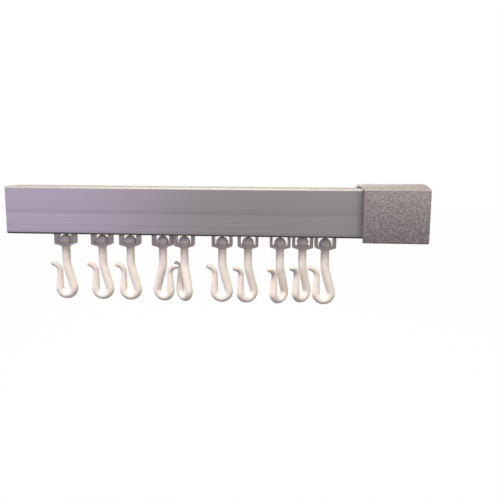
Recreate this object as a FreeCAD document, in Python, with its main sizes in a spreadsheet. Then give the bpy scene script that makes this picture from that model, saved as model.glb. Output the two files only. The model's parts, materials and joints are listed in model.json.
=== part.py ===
import FreeCAD, Part
import Sketcher
import math
import os

# Curtain track: a box-section extruded rail with ten hook runners, held at its right end
# in a cast wall bracket. Millimetres. The origin is the centre of the bracket's wall face,
# level with the middle of the rail. X runs along the rail towards the wall, Z is up and
# the face seen from the room looks along -Y.

doc = FreeCAD.newDocument("CurtainTrack")
sizes = doc.addObject("Spreadsheet::Sheet", "Sizes")

runner_count = 10
runner_numbers = [f"{number:02d}" for number in range(1, runner_count + 1)]

# Driving dimensions: name, value, what it measures
dimensions = [
    ("rail_length", 290, "rail from its cut end to its end in the bracket"),
    ("rail_end_space", 10.9, "wall face to the rail's end, room for the wall screws' heads"),
    ("rail_height", 35, "rail section, height"),
    ("rail_depth", 20, "rail section, front to back"),
    ("rail_wall", 1.6, "rail side and top walls"),
    ("rail_corner", 1.8, "rounding of the rail's four long edges"),
    ("web_thick", 1.4, "inner web that closes the upper chamber"),
    ("ledge_thick", 1.8, "ledges that the wheels run on"),
    ("slot_width", 8.4, "slot between the ledges"),
    ("lip_width", 1, "guide lip along each side of the slot"),
    ("lip_height", 1, "height of the guide lip above the ledge"),
    ("bracket_length", 44.4, "bracket along the rail"),
    ("bracket_depth", 34, "bracket, front to back"),
    ("bracket_wall", 2.3, "bracket walls and roof"),
    ("floor_thick", 1.85, "bracket floor under the rail's end"),
    ("floor_setback", 16, "bracket's mouth to the edge of its floor"),
    ("bracket_end_wall", 3, "end wall against the room's wall"),
    ("roof_rise", 3.15, "rise of the arched roof over its sides"),
    ("roof_over_rail", 3.35, "roof's crest above the rail's top"),
    ("bracket_edge", 1.1, "rounding of the bracket's long edges"),
    ("bracket_rim", 0.5, "rounding of the bracket's mouth and wall-side rims"),
    ("wall_screw_spacing", 22, "distance between the two wall screw holes"),
    ("wall_screw_hole", 5, "diameter of the wall screw holes"),
    ("pad_inset", 11, "bracket's mouth to the first locating pad"),
    ("pad_spacing", 18, "first to second locating pad"),
    ("pad_width", 3, "front locating pads along the rail"),
    ("pad_height", 28, "front locating pads, height"),
    ("grub_diameter", 4, "grub screw"),
    ("grub_recess", 0.5, "grub screw's head below the bracket's back"),
    ("grub_socket", 2, "hexagon socket across flats"),
    ("grub_socket_depth", 2, "hexagon socket depth"),
    ("grub_boss_diameter", 9, "boss around each grub screw"),
    ("stirrup_width", 15.1, "runner along the rail"),
    ("stirrup_depth", 6.4, "runner, front to back"),
    ("leg_thick", 2.1, "the stirrup's two legs"),
    ("stirrup_drop", 8.5, "rail's underside to the stirrup's lower corners"),
    ("bar_thick", 1.4, "stirrup's cross bar at its corners"),
    ("bar_dip", 1.1, "how far the bar's underside falls to its middle"),
    ("bar_corner", 0.8, "rounding of the stirrup's lower corners"),
    ("head_clear", 1.4, "head's underside above the guide lips"),
    ("head_above_axle", 4, "axle's centre to the head's top"),
    ("head_chamfer", 2, "head's upper corners"),
    ("collar_diameter", 8.6, "hook collar at its top"),
    ("collar_end_diameter", 7.3, "hook collar at its lower end"),
    ("collar_above_bar", 0.3, "collar's rim above the cross bar"),
    ("collar_height", 3.5, "hook collar's height"),
    ("swivel_clearance", 0.15, "hook's ball and shank in the collar"),
    ("wheel_diameter", 14, "wheel"),
    ("wheel_width", 2.5, "wheel"),
    ("wheel_edge", 0.5, "chamfer of the wheel's tread"),
    ("wheel_gap", 0.35, "wheel's tread above its ledge"),
    ("wheel_top_gap", 0.45, "wheel's tread below the inner web"),
    ("wheel_side_gap", 0.35, "wheel's inner face to the guide lip"),
    ("wheel_recess_diameter", 5.6, "recess in the wheel around the axle's head"),
    ("wheel_recess_depth", 0.8, "recess in the wheel around the axle's head"),
    ("axle_diameter", 3, "axle pin"),
    ("axle_head_diameter", 4.6, "axle's upset ends"),
    ("axle_head_thick", 0.6, "axle's upset ends"),
    ("axle_clearance", 0.05, "axle in the runner's bore, on the radius"),
    ("ball_diameter", 8.8, "hook's ball head"),
    ("ball_height", 5.1, "ball head's crown above its rim"),
    ("seat_diameter", 7.9, "mouth of the conical seat, and the ball head's taper in it"),
    ("ball_seat_depth", 1.3, "ball head's taper down to the shank"),
    ("shank_diameter", 5.9, "hook's shank"),
    ("shank_length", 14.3, "straight shank below the ball's rim"),
    ("sway_angle", 15.5, "lean of the hook's back"),
    ("sway_radius", 22, "bend from the shank into the back"),
    ("back_length", 15, "leaning back, down to the bow"),
    ("bow_radius", 5.5, "centre line of the round bow at the hook's foot"),
    ("bow_diameter", 5.8, "rod at the bow"),
    ("arm_angle", 2.5, "lean of the rising arm towards the back"),
    ("arm_length", 12.7, "rising arm"),
    ("arm_end_diameter", 4, "rod at the arm's upper end"),
    ("curl_radius", 5.3, "curl from the arm out to the tip"),
    ("tip_angle", 75, "tip's direction off the vertical"),
    ("tip_length", 1.2, "straight end of the tip"),
    ("tip_diameter", 3.4, "rounded end of the tip"),
    ("hook_09_lift", 1.2, "ninth hook, pushed up in its stirrup"),
]

# Free space between each stirrup and the next thing to its right, as the runners are parked
end_gap = 31.7
runner_gaps = [12.9, 6.3, 9.5, 1.1, 13.2, 4.0, 8.4, 1.3, 1.3, 15.8]
# How far each hook is swivelled from facing left, seen from above, in degrees
hook_turns = [0, 0, 0, 168, -42, 0, 26, 42, 38, 0]

for number, gap in zip(runner_numbers, runner_gaps):
    dimensions.append((f"gap_{number}", gap, f"space to the right of runner {number}"))
dimensions.append(("gap_00", end_gap, "space from the rail's cut end to runner 01"))
all_gaps = " + ".join(["gap_00"] + [f"gap_{number}" for number in runner_numbers])
open_rail = "rail_length + rail_end_space - bracket_length"
dimensions.append((
    "gap_spread",
    f"=({open_rail} - {runner_count} * stirrup_width) / ({all_gaps})",
    "how far the parked runners are spread: 1 on a rail of the listed length",
))
for number, turn in zip(runner_numbers, hook_turns):
    dimensions.append((f"hook_{number}_turn", turn, f"hook {number} swivelled from facing left"))

for row, (name, value, note) in enumerate(dimensions, 1):
    sizes.set(f"A{row}", note)
    sizes.set(f"B{row}", str(value))
    sizes.setAlias(f"B{row}", name)
doc.recompute()


def sized(text):
    """Write each dimension's name in an expression as a reference to the sheet."""
    names = {name for name, value, note in dimensions}
    words = text.replace("(", "( ").replace(")", " )").split()
    return " ".join(f"Sizes.{word}" if word in names else word for word in words)


def measure(text):
    """The present value of an expression in the dimensions, in millimetres or degrees."""
    return float(sizes.evalExpression(sized(text)))


# Levels and places that several pieces share, as expressions in the dimensions
ledge_top = "( - rail_height / 2 + ledge_thick )"
web_under = f"( {ledge_top} + wheel_gap + wheel_diameter + wheel_top_gap )"
axle_level = f"( {ledge_top} + wheel_gap + wheel_diameter / 2 )"
wheel_inner = "( slot_width / 2 + lip_width + wheel_side_gap )"
wheel_outer = f"( {wheel_inner} + wheel_width )"
bar_top = "( - rail_height / 2 - stirrup_drop + bar_thick )"
collar_top = f"( {bar_top} + collar_above_bar )"
ball_level = f"( {collar_top} + swivel_clearance )"
roof_radius = "( ( bracket_depth * bracket_depth / 4 + roof_rise * roof_rise ) / ( 2 * roof_rise ) )"
roof_crest = "( rail_height / 2 + roof_over_rail )"
cavity_half = "( bracket_depth / 2 - bracket_wall )"


def new_body(name):
    body = doc.addObject("PartDesign::Body", name)
    body.Label = name
    return body


def plane_sketch(body, name, role, offset="0"):
    """A sketch on one of the body's origin planes, moved along the plane's normal."""
    sketch = body.newObject("Sketcher::SketchObject", name)
    plane = next(item for item in body.Origin.OriginFeatures if item.Role == role)
    sketch.AttachmentSupport = [(plane, "")]
    sketch.MapMode = "FlatFace"
    sketch.setExpression("AttachmentOffset.Base.z", sized(offset))
    return sketch


def pin_point(sketch, geometry, point, across, up):
    """Hold a point of the sketch at a place given by two expressions."""
    for kind, text in (("DistanceX", across), ("DistanceY", up)):
        rule = Sketcher.Constraint(kind, -1, 1, geometry, point, measure(text))
        index = sketch.addConstraint(rule)
        sketch.setExpression(f"Constraints[{index}]", sized(text))


def add_loop(sketch, corners):
    """A closed outline of straight lines through the corners, each an (across, up) pair."""
    places = [FreeCAD.Vector(measure(across), measure(up), 0) for across, up in corners]
    first = sketch.GeometryCount
    for start, end in zip(places, places[1:] + places[:1]):
        sketch.addGeometry(Part.LineSegment(start, end), False)
    for step, (across, up) in enumerate(corners):
        before = first + (step - 1) % len(corners)
        sketch.addConstraint(Sketcher.Constraint("Coincident", before, 2, first + step, 1))
        pin_point(sketch, first + step, 1, across, up)


def add_circle(sketch, across, up, radius):
    centre = FreeCAD.Vector(measure(across), measure(up), 0)
    circle = Part.Circle(centre, FreeCAD.Vector(0, 0, 1), measure(radius))
    geometry = sketch.addGeometry(circle, False)
    pin_point(sketch, geometry, 3, across, up)
    index = sketch.addConstraint(Sketcher.Constraint("Radius", geometry, measure(radius)))
    sketch.setExpression(f"Constraints[{index}]", sized(radius))


def mirrored(corners):
    """The corners of a half outline followed by their mirror image across the vertical."""
    return corners + [(f"- ( {across} )", up) for across, up in reversed(corners)]


def pad(body, name, sketch, length, midplane=False, backwards=False):
    feature = body.newObject("PartDesign::Pad", name)
    feature.Profile = sketch
    feature.setExpression("Length", sized(length))
    feature.Midplane = midplane
    feature.Reversed = backwards
    return feature


def pocket(body, name, sketch, length, midplane=False, backwards=False):
    """A cut, checked to have taken something away."""
    doc.recompute()
    before = body.Shape.Volume
    feature = body.newObject("PartDesign::Pocket", name)
    feature.Profile = sketch
    feature.setExpression("Length", sized(length))
    feature.Midplane = midplane
    feature.Reversed = backwards
    doc.recompute()
    if body.Shape.Volume >= before:
        raise RuntimeError(f"{name} cuts nothing")
    return feature


def revolved(body, name, sketch, kind="PartDesign::Revolution"):
    feature = body.newObject(kind, name)
    feature.Profile = sketch
    feature.ReferenceAxis = (sketch, ["V_Axis"])
    feature.Angle = 360
    return feature


def edge_names(feature, wanted):
    """Names of the feature's edges that a test on the edge accepts."""
    doc.recompute()
    edges = feature.Shape.Edges
    return [f"Edge{number}" for number, edge in enumerate(edges, 1) if wanted(edge)]


def rounded(body, name, feature, wanted, radius):
    fillet = body.newObject("PartDesign::Fillet", name)
    fillet.Base = (feature, edge_names(feature, wanted))
    fillet.setExpression("Radius", sized(radius))
    return fillet


def near(value, text):
    return abs(value - measure(text)) < 0.001


def runs_along_x(edge):
    box = edge.BoundBox
    return edge.Length > 1 and box.YLength < 0.001 and box.ZLength < 0.001


# Rail: one extruded section, a closed chamber over a channel with ledges and a slot
rail = new_body("rail")
section = plane_sketch(rail, "rail_section", "YZ_Plane")
half_section = [
    ("rail_depth / 2", "rail_height / 2"),
    ("rail_depth / 2", "- rail_height / 2"),
    ("slot_width / 2", "- rail_height / 2"),
    ("slot_width / 2", f"{ledge_top} + lip_height"),
    ("slot_width / 2 + lip_width", f"{ledge_top} + lip_height"),
    ("slot_width / 2 + lip_width", ledge_top),
    ("rail_depth / 2 - rail_wall", ledge_top),
    ("rail_depth / 2 - rail_wall", web_under),
]
add_loop(section, mirrored(half_section))
half_chamber = [
    ("rail_depth / 2 - rail_wall", "rail_height / 2 - rail_wall"),
    ("rail_depth / 2 - rail_wall", f"{web_under} + web_thick"),
]
add_loop(section, mirrored(half_chamber))
rail_pad = pad(rail, "rail_extrusion", section, "rail_length")


def rail_outer_edge(edge):
    box = edge.BoundBox
    at_side = near(abs(box.YMin), "rail_depth / 2")
    at_top_or_foot = near(abs(box.ZMin), "rail_height / 2")
    return runs_along_x(edge) and at_side and at_top_or_foot


rounded(rail, "rail_rounding", rail_pad, rail_outer_edge, "rail_corner")
rail.setExpression("Placement.Base.x", sized("- rail_end_space - rail_length"))


# Bracket: a cast box with an arched roof, open towards the rail and closed at the wall
def arched_loop(sketch, half_width, foot, crest, radius):
    """Two walls and a floor under a round arch that is centred on the vertical."""
    half = measure(half_width)
    low = measure(foot)
    arc_centre = FreeCAD.Vector(0, measure(crest) - measure(radius), 0)
    spring = arc_centre.y + math.sqrt(measure(radius) ** 2 - half ** 2)
    corners = [(-half, spring), (-half, low), (half, low), (half, spring)]
    for start, end in zip(corners, corners[1:]):
        line = Part.LineSegment(FreeCAD.Vector(*start, 0), FreeCAD.Vector(*end, 0))
        sketch.addGeometry(line, False)
    circle = Part.Circle(arc_centre, FreeCAD.Vector(0, 0, 1), measure(radius))
    begin = math.atan2(spring - arc_centre.y, half)
    roof = sketch.addGeometry(Part.ArcOfCircle(circle, begin, math.pi - begin), False)
    for joined in ((0, 2, 1, 1), (1, 2, 2, 1), (2, 2, roof, 1), (roof, 2, 0, 1)):
        sketch.addConstraint(Sketcher.Constraint("Coincident", *joined))
    sketch.addConstraint(Sketcher.Constraint("Vertical", 0))
    sketch.addConstraint(Sketcher.Constraint("Vertical", 2))
    pin_point(sketch, 1, 1, f"- ( {half_width} )", foot)
    pin_point(sketch, 1, 2, half_width, foot)
    pin_point(sketch, roof, 3, "0", f"{crest} - {radius}")
    index = sketch.addConstraint(Sketcher.Constraint("Radius", roof, measure(radius)))
    sketch.setExpression(f"Constraints[{index}]", sized(radius))


bracket = new_body("end_bracket")
outer_section = plane_sketch(bracket, "bracket_section", "YZ_Plane")
bracket_foot = "( - rail_height / 2 - floor_thick )"
arched_loop(outer_section, "bracket_depth / 2", bracket_foot, roof_crest, roof_radius)
casting = pad(bracket, "bracket_casting", outer_section, "bracket_length")


def bracket_long_edge(edge):
    return runs_along_x(edge) and near(abs(edge.BoundBox.YMin), "bracket_depth / 2")


def bracket_rim_edge(edge):
    box = edge.BoundBox
    return box.XLength < 0.001 and (near(box.XMin, "0") or near(box.XMin, "bracket_length"))


softened = rounded(bracket, "bracket_long_edges", casting, bracket_long_edge, "bracket_edge")
rimmed = rounded(bracket, "bracket_rims", softened, bracket_rim_edge, "bracket_rim")
bracket.Tip = rimmed
cavity_section = plane_sketch(bracket, "cavity_section", "YZ_Plane")
arched_loop(
    cavity_section,
    cavity_half,
    "( - rail_height / 2 )",
    f"( {roof_crest} - bracket_wall )",
    f"( {roof_radius} - bracket_wall )",
)
pocket(bracket, "cavity", cavity_section, "bracket_length - bracket_end_wall", backwards=True)

floor_opening = plane_sketch(bracket, "floor_opening_outline", "XY_Plane", bracket_foot)
add_loop(floor_opening, [
    ("0", f"- {cavity_half}"),
    ("floor_setback", f"- {cavity_half}"),
    ("floor_setback", cavity_half),
    ("0", cavity_half),
])
pocket(bracket, "floor_opening", floor_opening, "floor_thick", backwards=True)

pad_places = ["pad_inset", "( pad_inset + pad_spacing )"]

for count, place in enumerate(pad_places, 1):
    outline = plane_sketch(bracket, f"pad_outline_{count}", "XY_Plane")
    add_loop(outline, [
        (f"{place} - pad_width / 2", f"- {cavity_half} - bracket_wall / 2"),
        (f"{place} + pad_width / 2", f"- {cavity_half} - bracket_wall / 2"),
        (f"{place} + pad_width / 2", "- rail_depth / 2"),
        (f"{place} - pad_width / 2", "- rail_depth / 2"),
    ])
    pad(bracket, f"front_pad_{count}", outline, "pad_height", midplane=True)

boss_reach = f"( {cavity_half} - rail_depth / 2 )"
boss_start = "( rail_depth / 2 )"
bosses = plane_sketch(bracket, "boss_circles", "XZ_Plane", f"- {boss_start}")
for place in pad_places:
    add_circle(bosses, place, "0", "grub_boss_diameter / 2")
boss_pad = pad(bracket, "grub_bosses", bosses, f"{boss_reach} + bracket_wall / 2", backwards=True)

bores = plane_sketch(bracket, "grub_bore_circles", "XZ_Plane", "- bracket_depth / 2")
for place in pad_places:
    add_circle(bores, place, "0", "grub_diameter / 2")
bore_length = "bracket_depth / 2 - rail_depth / 2"
doc.recompute()
pocket(bracket, "grub_bores", bores, bore_length, backwards=True)

screw_holes = plane_sketch(bracket, "wall_screw_circles", "YZ_Plane")
for side in ("wall_screw_spacing / 2", "- wall_screw_spacing / 2"):
    add_circle(screw_holes, "0", side, "wall_screw_hole / 2")
pocket(bracket, "wall_screw_holes", screw_holes, "bracket_length", backwards=True)
bracket.setExpression("Placement.Base.x", sized("- bracket_length"))


# Grub screws: threaded pins with a hexagon socket, tight against the rail's back
def grub_screw(name, place):
    body = new_body(name)
    blank = plane_sketch(body, f"{name}_blank", "XZ_Plane")
    add_circle(blank, "0", "0", "grub_diameter / 2")
    length = "( bracket_depth / 2 - rail_depth / 2 - grub_recess )"
    pad(body, f"{name}_pin", blank, length, backwards=True)
    socket = plane_sketch(body, f"{name}_socket_outline", "XZ_Plane", f"- {length}")
    flat = "grub_socket / 2"
    point = "grub_socket * 0.57735"
    half_point = "grub_socket * 0.288675"
    add_loop(socket, [
        (flat, half_point), ("0", point), (f"- {flat}", half_point),
        (f"- {flat}", f"- {half_point}"), ("0", f"- {point}"), (flat, f"- {half_point}"),
    ])
    pocket(body, f"{name}_socket", socket, "grub_socket_depth", backwards=True)
    body.setExpression("Placement.Base.x", sized(f"- bracket_length + {place}"))
    body.setExpression("Placement.Base.y", sized("rail_depth / 2"))
    return body


grub_screws = [
    grub_screw(f"grub_screw_{count}", place) for count, place in enumerate(pad_places, 1)
]


# Runner: a moulded stirrup whose head rides between the wheels and whose bar seats a hook
def stirrup():
    body = new_body("stirrup_pattern")
    outline = plane_sketch(body, "stirrup_outline", "XZ_Plane")
    foot = "( - rail_height / 2 - stirrup_drop )"
    head_top = f"( {axle_level} + head_above_axle )"
    add_loop(outline, mirrored([
        ("stirrup_width / 2 - head_chamfer", head_top),
        ("stirrup_width / 2", f"{head_top} - head_chamfer"),
        ("stirrup_width / 2", foot),
        ("collar_end_diameter / 2", f"{foot} - bar_dip"),
    ]))
    add_loop(outline, mirrored([
        ("stirrup_width / 2 - leg_thick", f"{ledge_top} + lip_height + head_clear"),
        ("stirrup_width / 2 - leg_thick", bar_top),
    ]))
    frame = pad(body, "stirrup_frame", outline, "stirrup_depth", midplane=True)

    def lower_corner(edge):
        box = edge.BoundBox
        across = near(abs(box.XMin), "stirrup_width / 2") and near(box.ZMin, foot)
        return across and box.XLength < 0.001 and box.ZLength < 0.001

    body.Tip = rounded(body, "stirrup_corners", frame, lower_corner, "bar_corner")

    collar = plane_sketch(body, "collar_profile", "XZ_Plane")
    collar_end = f"( {collar_top} - collar_height )"
    add_loop(collar, [
        ("0", collar_top),
        ("0", collar_end),
        ("collar_end_diameter / 2", collar_end),
        ("collar_diameter / 2", collar_top),
    ])
    revolved(body, "collar", collar)

    hubs = plane_sketch(body, "hub_circle", "XZ_Plane")
    add_circle(hubs, "0", axle_level, "axle_diameter / 2 + 1.1")
    pad(body, "axle_hubs", hubs, f"2 * ( {wheel_inner} - wheel_side_gap )", midplane=True)

    bore = plane_sketch(body, "axle_bore_circle", "XZ_Plane")
    add_circle(bore, "0", axle_level, "axle_diameter / 2 + axle_clearance")
    pocket(body, "axle_bore", bore, f"4 * {wheel_inner}", midplane=True)

    seat = plane_sketch(body, "seat_profile", "XZ_Plane")
    hole = "( shank_diameter / 2 + swivel_clearance )"
    add_loop(seat, [
        ("0", f"{collar_top} + 1"),
        ("0", f"{collar_end} - 1"),
        (hole, f"{collar_end} - 1"),
        (hole, f"{collar_top} - ball_seat_depth"),
        ("seat_diameter / 2", collar_top),
        ("seat_diameter / 2", f"{collar_top} + 1"),
    ])
    revolved(body, "hook_seat", seat, "PartDesign::Groove")
    return body


# Wheel and axle: turned about Y, drawn as half sections beside the axis
def wheel():
    body = new_body("wheel_pattern")
    profile = plane_sketch(body, "wheel_profile", "XY_Plane")
    bore = "axle_diameter / 2"
    tread = "wheel_diameter / 2"
    add_loop(profile, [
        (bore, wheel_inner),
        (f"{tread} - wheel_edge", wheel_inner),
        (tread, f"{wheel_inner} + wheel_edge"),
        (tread, f"{wheel_outer} - wheel_edge"),
        (f"{tread} - wheel_edge", wheel_outer),
        ("wheel_recess_diameter / 2", wheel_outer),
        ("wheel_recess_diameter / 2", f"{wheel_outer} - wheel_recess_depth"),
        (bore, f"{wheel_outer} - wheel_recess_depth"),
    ])
    revolved(body, "wheel_turning", profile)
    return body


def axle():
    body = new_body("axle_pattern")
    profile = plane_sketch(body, "axle_profile", "XY_Plane")
    shoulder = f"( {wheel_outer} - wheel_recess_depth )"
    end = f"( {shoulder} + axle_head_thick )"
    add_loop(profile, [
        ("0", f"- {end}"),
        ("axle_head_diameter / 2", f"- {end}"),
        ("axle_head_diameter / 2", f"- {shoulder}"),
        ("axle_diameter / 2", f"- {shoulder}"),
        ("axle_diameter / 2", shoulder),
        ("axle_head_diameter / 2", shoulder),
        ("axle_head_diameter / 2", end),
        ("0", end),
    ])
    revolved(body, "axle_turning", profile)
    return body


class BentRod:
    """A round rod laid along straight runs and bends in the plane of the hook."""

    def __init__(self, name, start_level):
        self.name = name
        self.place = FreeCAD.Vector(0, 0, measure(start_level))
        self.heading = -90.0
        self.pieces = []

    def direction(self, degrees):
        angle = math.radians(degrees)
        return FreeCAD.Vector(math.cos(angle), 0, math.sin(angle))

    def piece(self, kind, measures):
        item = doc.addObject(kind, f"{self.name}_{len(self.pieces) + 1}")
        for prop, text in measures.items():
            item.setExpression(prop, sized(text))
        self.pieces.append(item)
        return item

    def run(self, length, start_diameter, end_diameter):
        """A straight run, tapered from one diameter to the other."""
        if start_diameter == end_diameter:
            measures = {"Radius": f"{start_diameter} / 2", "Height": length}
            item = self.piece("Part::Cylinder", measures)
        else:
            item = self.piece("Part::Cone", {
                "Radius1": f"{start_diameter} / 2",
                "Radius2": f"{end_diameter} / 2",
                "Height": length,
            })
        along = self.direction(self.heading)
        turn = FreeCAD.Rotation(FreeCAD.Vector(0, 0, 1), along)
        item.Placement = FreeCAD.Placement(self.place, turn)
        self.place = self.place + along * measure(length)

    def bend(self, radius, angle, diameter, left):
        """A bend to the left or right of the way the rod is going."""
        item = self.piece("Part::Torus", {
            "Radius1": radius,
            "Radius2": f"{diameter} / 2",
            "Angle3": angle,
        })
        side = 1 if left else -1
        to_start = self.direction(self.heading - 90 * side)
        centre = self.place - to_start * measure(radius)
        axis = FreeCAD.Vector(0, -side, 0)
        turn = FreeCAD.Rotation(to_start, axis.cross(to_start), axis, "ZXY")
        item.Placement = FreeCAD.Placement(centre, turn)
        self.heading = self.heading + side * measure(angle)
        self.place = centre + self.direction(self.heading - 90 * side) * measure(radius)

    def round_end(self, diameter):
        item = self.piece("Part::Sphere", {"Radius": f"{diameter} / 2"})
        item.Placement.Base = self.place


# Hook: a ball head that sits in the collar, and a rod bent into a swan neck below it
def ball_profile(sketch):
    """Half of the ball head: a taper for the seat, a narrow rim and a round crown."""
    radius = measure("ball_diameter") / 2
    rim = measure(ball_level)
    centre = FreeCAD.Vector(0, rim + measure("ball_height") - radius, 0)
    rim_angle = math.asin((rim - centre.y) / radius)
    foot = rim - measure("ball_seat_depth")
    corners = [
        (0, foot),
        (measure("shank_diameter") / 2, foot),
        (measure("seat_diameter") / 2, rim),
        (radius * math.cos(rim_angle), rim),
    ]
    for start, end in zip(corners, corners[1:]):
        line = Part.LineSegment(FreeCAD.Vector(*start, 0), FreeCAD.Vector(*end, 0))
        sketch.addGeometry(line, False)
    circle = Part.Circle(centre, FreeCAD.Vector(0, 0, 1), radius)
    crown = sketch.addGeometry(Part.ArcOfCircle(circle, rim_angle, math.pi / 2), False)
    top = FreeCAD.Vector(0, centre.y + radius, 0)
    sketch.addGeometry(Part.LineSegment(top, FreeCAD.Vector(0, foot, 0)), False)
    for joined in ((0, 2, 1, 1), (1, 2, 2, 1), (2, 2, 3, 1), (3, 2, 4, 1), (4, 2, 0, 1)):
        sketch.addConstraint(Sketcher.Constraint("Coincident", *joined))
    pin_point(sketch, 0, 1, "0", f"{ball_level} - ball_seat_depth")
    pin_point(sketch, 1, 1, "shank_diameter / 2", f"{ball_level} - ball_seat_depth")
    pin_point(sketch, 2, 1, "seat_diameter / 2", ball_level)
    pin_point(sketch, crown, 3, "0", f"{ball_level} + ball_height - ball_diameter / 2")
    index = sketch.addConstraint(Sketcher.Constraint("Radius", crown, radius))
    sketch.setExpression(f"Constraints[{index}]", "Sizes.ball_diameter / 2")
    sketch.addConstraint(Sketcher.Constraint("Horizontal", 2))
    sketch.addConstraint(Sketcher.Constraint("Vertical", 4))


def hook():
    head = new_body("hook_head")
    profile = plane_sketch(head, "ball_profile", "XZ_Plane")
    ball_profile(profile)
    revolved(head, "ball_turning", profile)

    rod = BentRod("hook_rod", ball_level)
    rod.run("shank_length", "shank_diameter", "shank_diameter")
    rod.bend("sway_radius", "sway_angle", "shank_diameter", left=True)
    rod.run("back_length", "shank_diameter", "bow_diameter")
    rod.bend("bow_radius", "180 + sway_angle + arm_angle", "bow_diameter", left=False)
    rod.run("arm_length", "bow_diameter", "arm_end_diameter")
    rod.bend("curl_radius", "tip_angle + arm_angle", "arm_end_diameter", left=True)
    rod.run("tip_length", "arm_end_diameter", "tip_diameter")
    rod.round_end("tip_diameter")

    whole = doc.addObject("Part::MultiFuse", "hook_pattern")
    whole.Shapes = [head] + rod.pieces
    whole.Refine = True
    return whole


stirrup_pattern = stirrup()
wheel_pattern = wheel()
axle_pattern = axle()
hook_pattern = hook()
doc.recompute()


def placed_copy(name, pattern, across, turn=0.0, lift="0"):
    """One of the repeated pieces, standing at its own place along the rail."""
    copy = doc.addObject("Part::Compound", name)
    copy.Label = name
    copy.Links = [pattern]
    vertical = FreeCAD.Vector(0, 0, 1)
    copy.Placement = FreeCAD.Placement(FreeCAD.Vector(), FreeCAD.Rotation(vertical, turn))
    copy.setExpression("Placement.Base.x", sized(across))
    copy.setExpression("Placement.Base.z", sized(lift))
    return copy


parts = [rail, bracket] + grub_screws
runner_place = "- bracket_length + stirrup_width / 2"
for number in reversed(runner_numbers):
    runner_place = f"{runner_place} - gap_{number} * gap_spread - stirrup_width"
    turn = measure(f"hook_{number}_turn")
    lift = f"hook_{number}_lift" if number == "09" else "0"
    runner = f"runner_{number}"
    parts.append(placed_copy(f"{runner}_body", stirrup_pattern, runner_place))
    parts.append(placed_copy(f"{runner}_axle", axle_pattern, runner_place, 0, axle_level))
    for side, facing in (("back", 0), ("front", 180)):
        name = f"{runner}_wheel_{side}"
        parts.append(placed_copy(name, wheel_pattern, runner_place, facing, axle_level))
    parts.append(placed_copy(f"hook_{number}", hook_pattern, runner_place, turn, lift))
doc.recompute()

# Every object has to be sound before anything is written
for item in doc.Objects:
    if "Invalid" in item.State or "Error" in item.State:
        raise RuntimeError(f"{item.Name} failed: {item.State}")
os.makedirs("parts", exist_ok=True)
for part in parts:
    if part.Shape.isNull() or not part.Shape.isValid():
        raise RuntimeError(f"{part.Label} has no sound shape")
    part.Shape.exportStep(f"parts/{part.Label}.step")
print(f"{len(parts)} pieces written")
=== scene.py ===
# %% [markdown]
# # A curtain track with swivel hooks
#
# The object is a length of box-section aluminium track. Its right end sits in a cast wall
# bracket, and ten moulded runners hang through the slot in its underside, each with a
# swan-neck hook that turns in it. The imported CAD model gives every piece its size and
# place. This script gives the pieces their surfaces: drawn aluminium, a wrinkled coat on
# the casting, and cream plastic with the soft edges that a mould leaves.

# %% Load the frame
import bmesh
import bpy
import json
import math
from mathutils import Matrix, Vector


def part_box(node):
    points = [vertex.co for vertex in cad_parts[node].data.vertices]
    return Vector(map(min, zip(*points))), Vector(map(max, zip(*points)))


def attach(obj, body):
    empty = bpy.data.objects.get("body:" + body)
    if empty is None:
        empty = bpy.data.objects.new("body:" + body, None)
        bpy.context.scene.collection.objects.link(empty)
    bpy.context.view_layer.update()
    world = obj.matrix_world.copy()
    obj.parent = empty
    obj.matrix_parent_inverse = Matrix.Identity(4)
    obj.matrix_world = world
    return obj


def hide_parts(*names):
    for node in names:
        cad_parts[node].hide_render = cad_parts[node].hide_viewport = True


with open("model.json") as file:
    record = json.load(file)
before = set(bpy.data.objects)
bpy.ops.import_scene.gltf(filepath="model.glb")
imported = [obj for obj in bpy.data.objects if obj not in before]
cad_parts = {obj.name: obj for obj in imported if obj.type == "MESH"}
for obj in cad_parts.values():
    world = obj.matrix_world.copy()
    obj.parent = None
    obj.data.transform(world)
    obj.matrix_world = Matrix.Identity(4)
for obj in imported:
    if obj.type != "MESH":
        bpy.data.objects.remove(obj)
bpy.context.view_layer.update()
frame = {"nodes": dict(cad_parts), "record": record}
nodes = frame["nodes"]
MM = 0.001

# %% [markdown]
# ## Camera
#
# The photograph looks at the track from the front and a little above, from about arm's
# length. The camera stands level with a point near the middle of the track, and its shift
# places the object above the middle of the picture, as it is there.

# %% Place the camera
PICTURE = 500
FOCAL_PIXELS = 415.5
AXIS_PIXEL = (246.4, 205.0)
CAMERA_PLACE = Vector((-108.8, -301.0, 36.97)) * MM
YAW = -0.0552
PITCH = -0.1072
ROLL = 0.0052

camera_data = bpy.data.cameras.new("viewpoint")
camera_data.sensor_width = 36
camera_data.lens = FOCAL_PIXELS / PICTURE * camera_data.sensor_width
camera_data.shift_x = (PICTURE / 2 - AXIS_PIXEL[0]) / PICTURE
camera_data.shift_y = (AXIS_PIXEL[1] - PICTURE / 2) / PICTURE
camera_data.clip_start = 0.01
camera = bpy.data.objects.new("viewpoint", camera_data)
bpy.context.scene.collection.objects.link(camera)
forward = Vector((
    math.sin(YAW) * math.cos(PITCH),
    math.cos(YAW) * math.cos(PITCH),
    math.sin(PITCH),
))
level_right = forward.cross(Vector((0, 0, 1))).normalized()
level_up = level_right.cross(forward)
right = level_right * math.cos(ROLL) + level_up * math.sin(ROLL)
up = level_up * math.cos(ROLL) - level_right * math.sin(ROLL)
camera.matrix_world = Matrix((
    (right.x, up.x, -forward.x, CAMERA_PLACE.x),
    (right.y, up.y, -forward.y, CAMERA_PLACE.y),
    (right.z, up.z, -forward.z, CAMERA_PLACE.z),
    (0, 0, 0, 1),
))
bpy.context.scene.camera = camera

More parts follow.
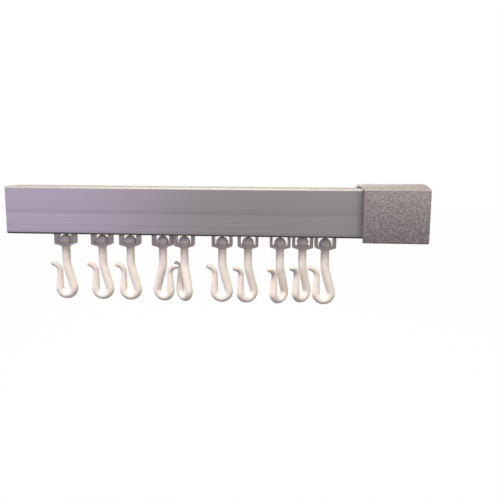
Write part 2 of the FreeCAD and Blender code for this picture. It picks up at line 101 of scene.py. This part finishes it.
# %% [markdown]
# ## Light and surroundings
#
# The room's light comes from the ceiling, a little in front of the track: the rail's top
# is bright, its face is in half tone, and the track throws its shadow on the upper ends
# of the hooks. Dim panels stand for the walls. The one on the left is lavender and gives
# the left end of the rail its violet cast. Camera rays see plain white, so the
# background costs the object no extra light.

# %% Set the lamps and the world
scene = bpy.context.scene
scene.view_settings.view_transform = "Standard"


def add_lamp(name, place, target, width, height, power, colour):
    """A rectangular lamp that faces its target and that the camera doesn't see."""
    data = bpy.data.lights.new(name, "AREA")
    data.shape = "RECTANGLE"
    data.size = width
    data.size_y = height
    data.energy = power
    data.color = colour
    lamp = bpy.data.objects.new(name, data)
    lamp.location = place
    lamp.rotation_euler = (target - lamp.location).to_track_quat("-Z", "Y").to_euler()
    lamp.visible_camera = False
    scene.collection.objects.link(lamp)


MIDDLE = Vector((-150, 0, -10)) * MM
LEFT_END = Vector((-270, 0, -5)) * MM
for lamp_settings in (
    # name, place, target, width, height, power, colour
    ("ceiling", (-0.27, -0.41, 0.91), MIDDLE, 0.8, 0.17, 15.8, (1.0, 0.96, 0.89)),
    ("right_wall", (0.75, -0.40, 0.05), MIDDLE, 0.6, 0.6, 1.5, (1.0, 0.93, 0.86)),
    ("front_wall", (0.30, -0.62, -0.02), MIDDLE, 0.4, 0.4, 0.3, (0.97, 0.97, 1.0)),
    ("back_wall", (-0.15, 0.95, 0.14), MIDDLE, 0.9, 0.6, 6.5, (1.0, 0.98, 0.96)),
    ("left_wall", (-0.49, -0.385, -0.015), LEFT_END, 0.34, 0.34, 0.46, (0.72, 0.54, 1.0)),
):
    add_lamp(*lamp_settings)

ROOM_COLOUR = (1.0, 0.955, 0.93, 1)
ROOM_STRENGTH = 0.27
world = bpy.data.worlds.new("room")
scene.world = world
world.use_nodes = True
world_tree = world.node_tree
world_tree.nodes.clear()
world_output = world_tree.nodes.new("ShaderNodeOutputWorld")
room_light = world_tree.nodes.new("ShaderNodeBackground")
room_light.inputs["Color"].default_value = ROOM_COLOUR
room_light.inputs["Strength"].default_value = ROOM_STRENGTH
seen_light = world_tree.nodes.new("ShaderNodeBackground")
seen_light.inputs["Color"].default_value = (1, 1, 1, 1)
seen_light.inputs["Strength"].default_value = 1.0
ray = world_tree.nodes.new("ShaderNodeLightPath")
choose = world_tree.nodes.new("ShaderNodeMixShader")
world_tree.links.new(ray.outputs["Is Camera Ray"], choose.inputs[0])
world_tree.links.new(room_light.outputs[0], choose.inputs[1])
world_tree.links.new(seen_light.outputs[0], choose.inputs[2])
world_tree.links.new(choose.outputs[0], world_output.inputs["Surface"])

# %% [markdown]
# ## Shader sums
#
# A finish is easier to read as a sum than as a web of Math nodes. This class wraps one
# socket, and each Python operator on it adds the Math node that does the same.


# %% Wrap sockets and materials
def feed(tree, value, socket):
    """Give a socket a link or a plain value."""
    if isinstance(value, Wire):
        tree.links.new(value.socket, socket)
    elif isinstance(value, bpy.types.NodeSocket):
        tree.links.new(value, socket)
    else:
        socket.default_value = value


class Wire:
    """A number that changes over the surface, for use in Python sums."""

    def __init__(self, tree, socket):
        self.tree = tree
        self.socket = socket

    def sum(self, operation, first, second=0.0):
        """The result of one Math node."""
        node = self.tree.nodes.new("ShaderNodeMath")
        node.operation = operation
        feed(self.tree, first, node.inputs[0])
        feed(self.tree, second, node.inputs[1])
        return Wire(self.tree, node.outputs[0])

    def __add__(self, other):
        return self.sum("ADD", self, other)

    def __sub__(self, other):
        return self.sum("SUBTRACT", self, other)

    def __rsub__(self, other):
        return self.sum("SUBTRACT", other, self)

    def __mul__(self, other):
        return self.sum("MULTIPLY", self, other)

    def __abs__(self):
        return self.sum("ABSOLUTE", self)

    def ramp(self, low, high):
        """Rise smoothly from 0 at low to 1 at high."""
        node = self.tree.nodes.new("ShaderNodeMapRange")
        node.interpolation_type = "SMOOTHSTEP"
        feed(self.tree, self, node.inputs["Value"])
        node.inputs["From Min"].default_value = low
        node.inputs["From Max"].default_value = high
        return Wire(self.tree, node.outputs["Result"])


class Finish:
    """A material with one Principled shader, and a short way to add nodes to it."""

    def __init__(self, name, metallic=0.0):
        self.material = bpy.data.materials.new(name)
        self.material.use_nodes = True
        self.tree = self.material.node_tree
        self.tree.nodes.clear()
        output = self.tree.nodes.new("ShaderNodeOutputMaterial")
        self.shader = self.tree.nodes.new("ShaderNodeBsdfPrincipled")
        self.tree.links.new(self.shader.outputs[0], output.inputs["Surface"])
        self.set("Metallic", metallic)
        self.place = self.node("ShaderNodeTexCoord").outputs["Object"]
        split = self.node("ShaderNodeSeparateXYZ", Vector=self.place)
        self.z = Wire(self.tree, split.outputs["Z"])

    def set(self, socket, value):
        """Give one of the shader's sockets a link or a plain value."""
        feed(self.tree, value, self.shader.inputs[socket])

    def node(self, kind, settings=None, **values):
        """Any node: its type, its settings, then the values or links of its sockets."""
        node = self.tree.nodes.new(kind)
        for name, value in (settings or {}).items():
            setattr(node, name, value)
        for name, value in values.items():
            feed(self.tree, value, node.inputs[name.replace("_", " ")])
        return node

    def stretched(self, scale, turn=(0, 0, 0)):
        """The piece's own coordinates, turned and then scaled along each axis."""
        turned = self.node("ShaderNodeMapping", Vector=self.place, Rotation=turn)
        node = self.node("ShaderNodeMapping", Vector=turned.outputs[0], Scale=scale)
        return node.outputs[0]

    def noise(self, vector, detail=2.0):
        """Noise with one cell to each unit of the stretched coordinates."""
        node = self.node("ShaderNodeTexNoise", Vector=vector, Scale=1.0, Detail=detail)
        return Wire(self.tree, node.outputs["Fac"])

    def attribute(self, name):
        """A number that the piece's own mesh carries."""
        node = self.node("ShaderNodeAttribute", {"attribute_name": name})
        return Wire(self.tree, node.outputs["Fac"])

    def mix(self, factor, first, second):
        """Blend two colours."""
        node = self.node("ShaderNodeMix", {"data_type": "RGBA"})
        feed(self.tree, factor, node.inputs[0])
        feed(self.tree, first, node.inputs[6])
        feed(self.tree, second, node.inputs[7])
        return node.outputs[2]

    def bump(self, height, distance, strength=1.0):
        """Raise the surface by the height times the distance."""
        node = self.node("ShaderNodeBump", Height=height, Distance=distance, Strength=strength)
        self.set("Normal", node.outputs[0])


# %% [markdown]
# ## Drawn aluminium
#
# An extruded section keeps the marks of its die: fine lines that run its whole length,
# and a few stronger ones where the inner web and the ledges meet the outer wall. The
# satin anodising leaves the lines visible but takes the shine off, so the metal is
# grey and soft. The top is duller than the face, and the wall below the inner web is a
# little paler than the wall above it. The bottom edge is painted dark, a painted shade
# where its rounded corner turns away from the light. All of it depends on the height
# only, and hardly changes along X.

# %% Finish the rail
rail_low, rail_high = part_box("rail")
WITNESS_LINES_AND_EDGE_SHADE = [
    # millimetres below the rail's top, half width, share of the light that it takes
    (18.2, 2.3, 0.075),
    (22.3, 0.7, 0.05),
    (24.9, 0.9, 0.085),
    (27.8, 0.6, 0.13),
    (32.4, 1.9, 0.06),
    # painted shade: this last line paints the bottom edge dark, where its rounded corner turns
    # away from the light
    (35.0, 2.1, 0.95),
]
UPPER_TONE = 0.10
WEB_LEVEL = (18.6, 20.4)
TOP_EDGE = (0.1, 1.4)
FACE_COLOUR = (0.482, 0.474, 0.480, 1)
TOP_COLOUR = (0.445, 0.415, 0.375, 1)
BLACK = (0.0, 0.0, 0.0, 1)
FACE_ROUGHNESS = 0.42
TOP_ROUGHNESS = 0.78

anodised = Finish("anodised_aluminium", metallic=0.6)
die_lines = anodised.noise(anodised.stretched((3.0, 900.0, 900.0)), detail=3.0)
broad_lines = anodised.noise(anodised.stretched((1.0, 160.0, 160.0)), detail=2.0)
drop = (rail_high.z - anodised.z) * (1 / MM)
marks_and_edge_shade = (1.0 - drop.ramp(*WEB_LEVEL)) * UPPER_TONE
# the die's marks darken the face, and a painted shade darkens the bottom edge
for level, half_width, depth in WITNESS_LINES_AND_EDGE_SHADE:
    marks_and_edge_shade = (1.0 - abs(drop - level).ramp(0.0, half_width)) * depth + marks_and_edge_shade
marks_and_edge_shade = (0.5 - die_lines) * 0.10 + (0.5 - broad_lines) * 0.06 + marks_and_edge_shade
on_top = 1.0 - drop.ramp(*TOP_EDGE)
on_face = 1.0 - on_top
face_tone = anodised.mix(marks_and_edge_shade, FACE_COLOUR, BLACK)
anodised.set("Base Color", anodised.mix(on_top, face_tone, TOP_COLOUR))
sheen = on_top * (TOP_ROUGHNESS - FACE_ROUGHNESS) + FACE_ROUGHNESS
anodised.set("Roughness", (die_lines - 0.5) * on_face * 0.10 + sheen)
die_relief = (die_lines - 0.5) * 0.5 + (broad_lines - 0.5) * 0.7 - marks_and_edge_shade * 1.5
anodised.bump(die_relief * on_face, 0.03 * MM)

# %% [markdown]
# ## Wrinkle coat
#
# The bracket is a die casting with a coat that dries into small slanting wrinkles on
# its faces and lies smooth on the arched roof. Noise that is stretched along a slanting
# line gives the wrinkles in the bump, and their shading is painted into the tone as
# well: painted shade in the hollows and painted light on the ridges. The height fades
# them out at the roof. The tone is also painted paler towards the top, a painted
# gradient of the light that falls from above.

# %% Finish the bracket
bracket_low, bracket_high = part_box("end_bracket")
ROOF_SPRING = bracket_high.z - 3.15 * MM
ROOF_COLOUR = (0.40, 0.365, 0.335, 1)
# painted shade for the wrinkles' hollows and painted light for their ridges
HOLLOW_SHADE_COLOUR = (0.07, 0.06, 0.065, 1)
RIDGE_LIGHT_COLOUR = (0.58, 0.51, 0.525, 1)
# Noise cells to a metre along, through and across the wrinkles
WRINKLE_CELLS = (600.0, 600.0, 1800.0)
WRINKLE_SLANT = math.radians(42)

coat = Finish("wrinkle_coat", metallic=0.35)
slant = coat.stretched(WRINKLE_CELLS, turn=(0, WRINKLE_SLANT, 0))
wrinkles = coat.noise(slant, detail=1.0)
grains = coat.noise(coat.stretched((1900.0, 1900.0, 1900.0)), detail=1.0)
on_walls = 1.0 - (coat.z - ROOF_SPRING).ramp(-0.4 * MM, 0.2 * MM)
relief = (wrinkles.ramp(0.40, 0.72) * 0.7 + (grains - 0.9) * 0.45) * on_walls
# painted light: the walls' tone grows paler towards the top, where more light falls
painted_light_share = (coat.z - bracket_low.z) * (1 / (bracket_high.z - bracket_low.z))
wall_tone = relief * 0.72 + painted_light_share * 0.28 + 0.34
wall_colour = coat.mix(wall_tone, HOLLOW_SHADE_COLOUR, RIDGE_LIGHT_COLOUR)
coat.set("Base Color", coat.mix(on_walls, ROOF_COLOUR, wall_colour))
coat.set("Roughness", 0.5 - relief * 0.3)
coat.bump(relief, 0.12 * MM, 0.7)

# %% [markdown]
# ## Moulded plastics and small steel pieces
#
# Hooks and runners are moulded in the same cream white; the runners are painted darker,
# a painted shade for the rail's shadow that they hang in. All of them are satin, with a
# faint waviness where the thick parts shrank in the mould. The hooks let some light
# through, most of all at their thin tips, and the tips are painted a deeper tone, which
# is painted shade. The axles and grub screws are bright steel with turning marks.


# %% Finish the plastics
def plastic(name, pale, shade, roughness, tip_shade_tone=None):
    """A moulded plastic, painted a deeper tone as painted shade where the mesh marks the thin
    tip.
    """
    finish = Finish(name)
    clouds = finish.noise(finish.stretched((150.0, 150.0, 150.0)), detail=3.0)
    grain = finish.noise(finish.stretched((1500.0, 1500.0, 1500.0)), detail=2.0)
    colour = finish.mix(clouds.ramp(0.3, 0.75), shade, pale)
    if tip_shade_tone:
        # painted shade: the tips get a deeper tone
        colour = finish.mix(finish.attribute("tip_shade"), colour, tip_shade_tone)
    finish.set("Base Color", colour)
    finish.set("Roughness", (clouds - 0.5) * 0.15 + (grain - 0.5) * 0.1 + roughness)
    finish.bump(clouds * 0.8 + grain * 0.08, 0.12 * MM, 0.6)
    return finish


hook_plastic = plastic(
    "hook_plastic", (0.91, 0.865, 0.805, 1), (0.87, 0.81, 0.745, 1), 0.6,
    tip_shade_tone=(0.72, 0.683, 0.638, 1),
)
hook_plastic.set("Subsurface Weight", 0.5)
hook_plastic.set("Subsurface Radius", (1.0, 0.85, 0.7))
hook_plastic.set("Subsurface Scale", 2 * MM)
hook_plastic.set("Diffuse Roughness", 0.8)
# painted shade: the runners are the hooks' cream, painted darker for the rail's shadow that
# they hang in
runner_plastic = plastic(
    "runner_plastic", (0.665, 0.625, 0.587, 1), (0.61, 0.57, 0.53, 1), 0.48,
)
wheel_plastic = plastic(
    "wheel_plastic", (0.76, 0.75, 0.72, 1), (0.70, 0.68, 0.65, 1), 0.5,
)

steel = Finish("turned_steel", metallic=1.0)
turning = steel.noise(steel.stretched((1800.0, 1800.0, 1800.0)), detail=2.0)
steel.set("Base Color", steel.mix(turning, (0.42, 0.42, 0.43, 1), (0.62, 0.61, 0.60, 1)))
steel.set("Roughness", (turning - 0.5) * 0.2 + 0.34)
steel.bump(turning, 0.02 * MM)

# %% [markdown]
# ## Edges
#
# The CAD meshes are loose triangles with knife edges. A real edge always has a small
# radius that catches the light, so each rigid piece is copied, its triangles joined, its
# flat faces cleared of inner edges, and a bevel is put on every sharp edge.

# %% Copy a CAD node with softened edges
bodies = frame["record"]["behaviour"]["bodies"]
body_of_node = {node: name for name, members in bodies.items() for node in members}
MERGE_DISTANCE = 0.002 * MM
FLAT_ANGLE = math.radians(0.4)
SHARP_ANGLE = math.radians(28)


def softened(node, finish, radius, segments=2):
    """A merged, bevelled and smoothly shaded copy that stands for one CAD node."""
    piece = bpy.data.objects.new(f"{node}_piece", nodes[node].data.copy())
    scene.collection.objects.link(piece)
    mesh = piece.data
    if "custom_normal" in mesh.attributes:
        mesh.attributes.remove(mesh.attributes["custom_normal"])
    shape = bmesh.new()
    shape.from_mesh(mesh)
    bmesh.ops.remove_doubles(shape, verts=shape.verts, dist=MERGE_DISTANCE)
    bmesh.ops.dissolve_limit(
        shape, angle_limit=FLAT_ANGLE, verts=shape.verts, edges=shape.edges,
    )
    for face in shape.faces:
        face.smooth = True
    for edge in shape.edges:
        edge.smooth = edge.calc_face_angle(0.0) < SHARP_ANGLE
    shape.to_mesh(mesh)
    shape.free()
    mesh.materials.clear()
    mesh.materials.append(finish.material)
    bevel = piece.modifiers.new("edge_radius", "BEVEL")
    bevel.width = radius * MM
    bevel.segments = segments
    bevel.limit_method = "ANGLE"
    bevel.angle_limit = SHARP_ANGLE
    bevel.use_clamp_overlap = True
    bevel.harden_normals = True
    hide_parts(node)
    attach(piece, body_of_node[node])


softened("rail", anodised, 0.12)
softened("end_bracket", coat, 0.15)
for number in (1, 2):
    softened(f"grub_screw_{number}", steel, 0.12)

# %% Runners, wheels and axles
runner_names = sorted(name for name in bodies if name.startswith("runner_"))
for runner in runner_names:
    softened(f"{runner}_body", runner_plastic, 0.3, segments=3)
    softened(f"{runner}_axle", steel, 0.1)
    for side in ("front", "back"):
        softened(f"{runner}_wheel_{side}", wheel_plastic, 0.12)
print(f"{len(runner_names)} runners dressed")

# %% [markdown]
# ## The hooks
#
# A hook is one moulding: a ball head that sits in the runner's collar, a shank, a back
# that leans away, a round bow and an arm that curls out into the tip. All of that is one
# line with a thickness that changes along it, so the line is a curve with a radius at
# each point, and Geometry Nodes sweep a round section along it. The two halves of the
# mould meet in the hook's own plane and leave a fine raised seam there, which the swept
# section carries as two small ribs. The same tree then turns the hook about its swivel
# axis and sets it at its runner, so ten hooks share one drawing.

# %% Lay out the hook's centre line
SWAY_ANGLE = 15.5
ARM_ANGLE = 2.5
TIP_ANGLE = 75
# Length in millimetres and turn in degrees, leftwards above zero, from the ball down
HOOK_RUNS = [
    (14.3, 0),
    (22.0 * math.radians(SWAY_ANGLE), SWAY_ANGLE),
    (15.0, 0),
    (5.5 * math.radians(180 + SWAY_ANGLE + ARM_ANGLE), -(180 + SWAY_ANGLE + ARM_ANGLE)),
    (12.7, 0),
    (5.3 * math.radians(TIP_ANGLE + ARM_ANGLE), TIP_ANGLE + ARM_ANGLE),
    (3.0, 0),
]
BALL_RADIUS = 4.4
BALL_HEIGHT = 5.1
# Distance along the line below the ball's rim, and the rod's radius there
HOOK_RADII = [
    (-0.12, 4.36), (0.0, 4.24), (0.08, 4.0), (0.25, 3.75), (1.3, 2.95), (14.0, 2.95),
    (23.0, 3.12), (30.0, 3.02), (36.0, 2.92), (46.0, 2.88), (54.0, 2.84), (58.0, 2.56),
    (63.0, 2.20), (67.0, 2.02), (73.0, 1.97), (75.0, 1.82), (75.9, 1.60), (76.6, 1.12),
    (76.9, 0.66), (77.0, 0.30), (77.03, 0.03),
]
CROWN_RINGS = 12
RING_STEP = 0.5
# The end of the arm, where the rod is thin and its tone is painted deeper, as painted shade
TIP_SHADE_FROM = 65.5
TIP_SHADE_FADE = 4.0


def rod_radius(distance):
    """The rod's radius at a distance along the line."""
    if distance < HOOK_RADII[0][0]:
        above_centre = BALL_RADIUS - BALL_HEIGHT - distance
        return max(0.03, math.sqrt(max(0.0, BALL_RADIUS ** 2 - above_centre ** 2)))
    for (start, first), (end, second) in zip(HOOK_RADII, HOOK_RADII[1:]):
        if distance <= end:
            return first + (second - first) * (distance - start) / (end - start)
    return HOOK_RADII[-1][1]


def line_place(distance):
    """Across and up, in the hook's plane, at a distance along its centre line."""
    if distance <= 0:
        return 0.0, -distance
    across, level, heading = 0.0, 0.0, -90.0
    for length, turn in HOOK_RUNS:
        part = min(distance, length)
        bend = math.radians(turn) * part / length
        chord = part * (math.sin(bend / 2) / (bend / 2) if bend else 1.0)
        course = math.radians(heading) + bend / 2
        across, level = across + chord * math.cos(course), level + chord * math.sin(course)
        heading = heading + turn
        distance = distance - part
        if distance <= 0:
            break
    return across, level


stations = {distance for distance, radius in HOOK_RADII}
ring_count = int(HOOK_RADII[-1][0] / RING_STEP)
stations.update(RING_STEP * ring for ring in range(1, ring_count))
crown_angles = [math.radians(90 * ring / CROWN_RINGS) for ring in range(CROWN_RINGS)]
stations.update(
    BALL_RADIUS - BALL_HEIGHT - BALL_RADIUS * math.cos(angle) for angle in crown_angles
)
stations = sorted(stations)
centre_line = bpy.data.meshes.new("hook_centre_line")
line_points = [line_place(distance) for distance in stations]
centre_line.from_pydata(
    [(across * MM, 0.0, level * MM) for across, level in line_points],
    [(point, point + 1) for point in range(len(line_points) - 1)],
    [],
)
radii = centre_line.attributes.new("rod_radius", "FLOAT", "POINT")
radii.data.foreach_set("value", [rod_radius(distance) * MM for distance in stations])
# painted shade: a share from 0 to 1 along the arm's end, where the tip's tone is painted deeper
tip_shade = centre_line.attributes.new("tip_shade", "FLOAT", "POINT")
tip_shade_shares = [min(1.0, max(0.0, (distance - TIP_SHADE_FROM) / TIP_SHADE_FADE)) for distance in stations]
tip_shade.data.foreach_set("value", tip_shade_shares)
print(f"{len(stations)} stations, foot at {min(level for across, level in line_points):.1f} mm")

# %% Build the tree that sweeps, turns and places a hook
SIDES = 32
SEAM_HEIGHT = 0.035
hook_tree = bpy.data.node_groups.new("swept_hook", "GeometryNodeTree")
hook_inputs = {}
for name, kind, value in (
    ("Centre line", "NodeSocketGeometry", None),
    ("Sides", "NodeSocketInt", SIDES),
    ("Seam height", "NodeSocketFloat", SEAM_HEIGHT),
    ("Swivel", "NodeSocketFloat", 0.0),
    ("Axis place", "NodeSocketVector", (0.0, 0.0, 0.0)),
    ("Finish", "NodeSocketMaterial", None),
):
    item = hook_tree.interface.new_socket(name, in_out="INPUT", socket_type=kind)
    if value is not None:
        item.default_value = value
    hook_inputs[name] = item.identifier
hook_tree.interface.new_socket("Hook", in_out="OUTPUT", socket_type="NodeSocketGeometry")
given = hook_tree.nodes.new("NodeGroupInput").outputs


def step(kind, settings=None, **values):
    """Add a node to the hook's tree, and give its sockets links or plain values."""
    node = hook_tree.nodes.new(kind)
    for name, value in (settings or {}).items():
        setattr(node, name, value)
    for name, value in values.items():
        feed(hook_tree, value, node.inputs[name.replace("_", " ")])
    return node


rod_line = step("GeometryNodeMeshToCurve", Mesh=given["Centre line"])
rod_scale = step("GeometryNodeInputNamedAttribute", {"data_type": "FLOAT"}, Name="rod_radius")
section = step("GeometryNodeCurvePrimitiveCircle", Resolution=given["Sides"], Radius=1.0)
# The seam ribs are the two points of the section that lie in the hook's plane
place = step("GeometryNodeInputPosition")
place_parts = step("ShaderNodeSeparateXYZ", Vector=place.outputs[0])
sideways = Wire(hook_tree, place_parts.outputs["Y"])
on_seam = sideways.sum("LESS_THAN", abs(sideways), 0.02)
swell = Wire(hook_tree, given["Seam height"]) + 1.0
ribbed_place = step(
    "ShaderNodeVectorMath", {"operation": "SCALE"}, Vector=place.outputs[0], Scale=swell,
)
ribbed = step(
    "GeometryNodeSetPosition", Geometry=section.outputs["Curve"],
    Selection=on_seam, Position=ribbed_place.outputs[0],
)
swept = step(
    "GeometryNodeCurveToMesh", Curve=rod_line.outputs[0], Profile_Curve=ribbed.outputs[0],
    Scale=rod_scale.outputs["Attribute"], Fill_Caps=True,
)
smooth = step("GeometryNodeSetShadeSmooth", Geometry=swept.outputs[0])
turning_axis = step("ShaderNodeCombineXYZ", Z=given["Swivel"])
placed = step(
    "GeometryNodeTransform", Geometry=smooth.outputs[0],
    Translation=given["Axis place"], Rotation=turning_axis.outputs[0],
)
real = step("GeometryNodeRealizeInstances", Geometry=placed.outputs[0])
coated = step("GeometryNodeSetMaterial", Geometry=real.outputs[0], Material=given["Finish"])
hook_result = hook_tree.nodes.new("NodeGroupOutput")
hook_tree.links.new(coated.outputs[0], hook_result.inputs[0])

# %% Make the ten hooks
# The tip lies in the hook's upper 0.6, past 0.93 of its reach from the swivel axis
UPPER_SHARE = 0.6
TIP_SHARE = 0.93


def swivel_of(node, axis_x):
    """How far a CAD hook is turned, from where its tip lies round the swivel axis."""
    low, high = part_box(node)
    upper = [vertex.co for vertex in nodes[node].data.vertices
             if vertex.co.z > high.z - (high.z - low.z) * UPPER_SHARE]
    reach = max(math.hypot(place.x - axis_x, place.y) for place in upper)
    tip = [place for place in upper
           if math.hypot(place.x - axis_x, place.y) > reach * TIP_SHARE]
    across = sum(axis_x - place.x for place in tip)
    return math.atan2(-sum(place.y for place in tip), across)


for runner in runner_names:
    hook = runner.replace("runner", "hook")
    collar_low, collar_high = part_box(f"{runner}_body")
    axis_x = (collar_low.x + collar_high.x) / 2
    ball_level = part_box(hook)[1].z - BALL_HEIGHT * MM
    sketch = bpy.data.objects.new(f"{hook}_line", centre_line)
    scene.collection.objects.link(sketch)
    sweep = sketch.modifiers.new("sweep", "NODES")
    sweep.node_group = hook_tree
    sweep[hook_inputs["Sides"]] = SIDES
    sweep[hook_inputs["Seam height"]] = SEAM_HEIGHT
    sweep[hook_inputs["Swivel"]] = swivel_of(hook, axis_x)
    sweep[hook_inputs["Axis place"]] = (axis_x, 0.0, ball_level)
    sweep[hook_inputs["Finish"]] = hook_plastic.material
    depsgraph = bpy.context.evaluated_depsgraph_get()
    mesh = bpy.data.meshes.new_from_object(sketch.evaluated_get(depsgraph))
    piece = bpy.data.objects.new(f"{hook}_piece", mesh)
    scene.collection.objects.link(piece)
    bpy.data.objects.remove(sketch)
    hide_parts(hook)
    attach(piece, body_of_node[hook])
print(f"hook mesh has {len(mesh.polygons)} faces")

# %% [markdown]
# ## Floor
#
# The track hangs on a wall in use, so the floor is well below it. It is plain and white,
# and keeps a faint shadow: camera rays get mostly a flat white, with a share of the
# floor's real shading.

# %% Lay the floor
FLOOR_LEVEL = -420 * MM
FLOOR_COLOUR = (0.16, 0.15, 0.14, 1)
WHITE_STRENGTH = 1.03
WHITE_SHARE = 0.96
bpy.ops.mesh.primitive_plane_add(size=8, location=(0, 0, FLOOR_LEVEL))
floor = bpy.context.object
floor.name = "floor"
floor_material = bpy.data.materials.new("floor_white")
floor_material.use_nodes = True
floor_tree = floor_material.node_tree
floor_shader = floor_tree.nodes["Principled BSDF"]
floor_shader.inputs["Base Color"].default_value = FLOOR_COLOUR
floor_shader.inputs["Roughness"].default_value = 0.9
plain_white = floor_tree.nodes.new("ShaderNodeEmission")
plain_white.inputs["Strength"].default_value = WHITE_STRENGTH
floor_ray = floor_tree.nodes.new("ShaderNodeLightPath")
camera_share = floor_tree.nodes.new("ShaderNodeMath")
camera_share.operation = "MULTIPLY"
camera_share.inputs[1].default_value = WHITE_SHARE
floor_mix = floor_tree.nodes.new("ShaderNodeMixShader")
floor_tree.links.new(floor_ray.outputs["Is Camera Ray"], camera_share.inputs[0])
floor_tree.links.new(camera_share.outputs[0], floor_mix.inputs[0])
floor_tree.links.new(floor_shader.outputs[0], floor_mix.inputs[1])
floor_tree.links.new(plain_white.outputs[0], floor_mix.inputs[2])
floor_surface = floor_tree.nodes["Material Output"].inputs["Surface"]
floor_tree.links.new(floor_mix.outputs[0], floor_surface)
floor.data.materials.append(floor_material)
